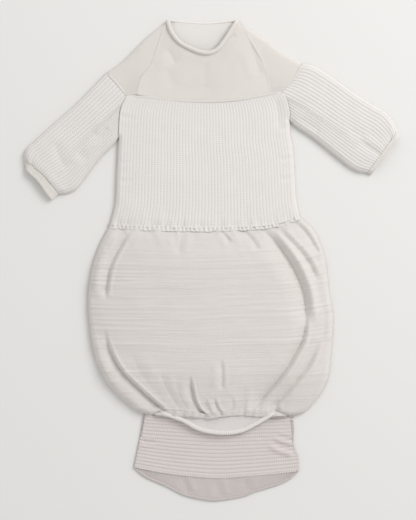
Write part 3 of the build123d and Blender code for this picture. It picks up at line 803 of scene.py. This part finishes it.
# Painted shade on the strip, darker in the hollows between the puckers.
shade = (0.4 + 0.8 * np.clip(-beat, 0, 1))[:, None]
gather = cloth("waist_gather_front", with_height(plan, level),
               knit_place(across[None] * 3, travelled[:, None], shade), rib_knit,
               ["front_waist_gather"], thick=1.2)

for piece in [hem_roll, front_roll, back_roll, gather, *body_seams]:
    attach(piece, "gown")

# ---- Foot flap ----------------------------------------------------------------------------------
flap_left = [(-86, -200), (-93, -232), (-97, -252), FLAP_LEFT_TIP]
flap_right = [(103, -201), (106, -222), (106.5, -240), (109, -247), (113.5, -260), FLAP_RIGHT_TIP]
FLAP_FOLDS = [
    ([(76, -236), (90, -243), (108, -248)], 2.8, 3.2, 3.6, 1.2, 3.0),
    ([(80, -228), (94, -233), (107, -236)], 1.4, 2.4, 3.0, 0.8, 1.4),
    ([(-94, -236), (-84, -239), (-72, -238)], 1.3, 2.4, 2.6, 0.9, 0.9),
]
FLAP_END_FOLDS = [
    ([(-40, -284), (-34, -295), (-30, -306)], 1.1, 4.0, 5.0, 1.0, 0.6),
    ([(4, -287), (8, -298), (10, -310)], 0.9, 5.0, 5.0, 0.8, 0.5),
    ([(40, -286), (46, -295), (48, -303)], 0.7, 5.0, 6.0, 0.6, 0.4),
]


def flap_settle(plan, table, seed):
    """The flap's soft waves; it lies on the floor, so nothing goes below its lowest level."""
    x, y = plan[..., 0], plan[..., 1]
    waves = 1.0 + 0.5 * noise(x, y, 40, seed) + 0.25 * noise(x, y, 14, seed + 1)
    return np.clip(waves + folds(plan, table), 0, None)


columns, rows = 120, FLAP_RIBS * RIB_STEPS + 1
flap_start = [flap_left[0], (-70, -202), (90, -203), flap_right[0]]
plan = patch(flap_left, flap_right, flap_start, FLAP_STITCHES, columns, rows)
u, v = np.meshgrid(np.linspace(0, 1, columns), np.linspace(0, 1, rows))
crest = rib(v * FLAP_RIBS)
top = REST + CLOTH + flap_settle(plan, FLAP_FOLDS, 61) + 0.6 * crest
# The third value is painted shade in the grooves between the flap's ribs.
knit = knit_place(v * FLAP_RIBS * RIB_PITCH, u * 205, 0.9 * (1 - crest))
flap = cloth("flap_rib_cloth", with_height(plan, top), knit, flap_rib_knit,
             ["flap_root", "flap_rib"])

columns, rows = 150, 40
low_left, low_right = (-100.4, -272.2), (113.2, -277.2)
end_edge = [low_left] + FLAP_END_EDGE[1:-1] + [low_right]
plan = patch([FLAP_LEFT_TIP, low_left], [FLAP_RIGHT_TIP, low_right], FLAP_STITCHES, end_edge,
             columns, rows)
u, v = np.meshgrid(np.linspace(0, 1, columns), np.linspace(0, 1, rows))
rounded = 1.0 * (1 - np.exp(-np.clip(1 - v, 0, None) / 0.08))
top = REST + 1.0 + 0.6 * rounded + flap_settle(plan, FLAP_END_FOLDS, 63)
flap_end = cloth("flap_end_cloth", with_height(plan, top), knit_place(u * 210, v * 30, 0.0),
                 flap_plain_knit, ["flap_end"], thick=1.0)


def flap_top(line):
    """Height of the row of stitches on the flap."""
    return REST + CLOTH + 0.75 + flap_settle(line, FLAP_FOLDS, 61)


stitch_row = tube("flap_stitch_line", FLAP_STITCHES, flap_top, 1.2, flap_thread,
                  ["flap_stitch_row"], flat=0.7, pitch=3.4, bead=0.45, taper=0.6)
turned_edge = tube("flap_turned_edge", end_edge, lambda p: REST + 1.0 + flap_settle(p, [], 63), 1.5,
                   flap_plain_knit, ["flap_edge"], flat=0.65, pitch=2.2,
                   bead=0.1, taper=0.5)
for piece in (flap, flap_end, stitch_row, turned_edge):
    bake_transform(piece)

# ---- Floor, light and camera --------------------------------------------------------------------
floor_mesh = bpy.data.meshes.new("floor")
floor_mesh.from_pydata([(-4, -4, 0), (4, -4, 0), (4, 4, 0), (-4, 4, 0)], [], [(0, 1, 2, 3)])
floor = bpy.data.objects.new("floor", floor_mesh)
bpy.context.scene.collection.objects.link(floor)
floor_paint = bpy.data.materials.new("floor_paint")
floor_paint.use_nodes = True
floor_shader = floor_paint.node_tree.nodes["Principled BSDF"]
floor_shader.inputs["Base Color"].default_value = (0.80, 0.79, 0.775, 1)
floor_shader.inputs["Roughness"].default_value = 0.9
floor_mesh.materials.append(floor_paint)

world = bpy.data.worlds.new("studio")
bpy.context.scene.world = world
world.use_nodes = True
world.node_tree.nodes["Background"].inputs["Color"].default_value = (1.0, 0.995, 0.985, 1)
world.node_tree.nodes["Background"].inputs["Strength"].default_value = 0.70


def area_light(name, place, target, size, energy):
    """A square soft box at this place, aimed at a target, in metres."""
    light = bpy.data.lights.new(name, "AREA")
    light.size = size
    light.energy = energy
    lamp = bpy.data.objects.new(name, light)
    lamp.location = place
    aim = np.array(target) - np.array(place)
    flat = math.hypot(aim[0], aim[1])
    lamp.rotation_euler = (math.atan2(flat, -aim[2]), 0, math.atan2(aim[1], aim[0]) - math.pi / 2)
    bpy.context.scene.collection.objects.link(lamp)


area_light("window", (1.5, 1.35, 1.75), (0, 0, 0), 1.2, 34.5)

camera_data = bpy.data.cameras.new("camera")
camera_data.lens = 85
camera_data.sensor_fit = "VERTICAL"
camera_data.sensor_height = 36
camera = bpy.data.objects.new("camera", camera_data)
camera.location = (-0.00455, -0.0013, 1.604)
camera.rotation_euler = (0, 0, 0)
bpy.context.scene.collection.objects.link(camera)
bpy.context.scene.camera = camera
bpy.context.scene.view_settings.view_transform = "Standard"
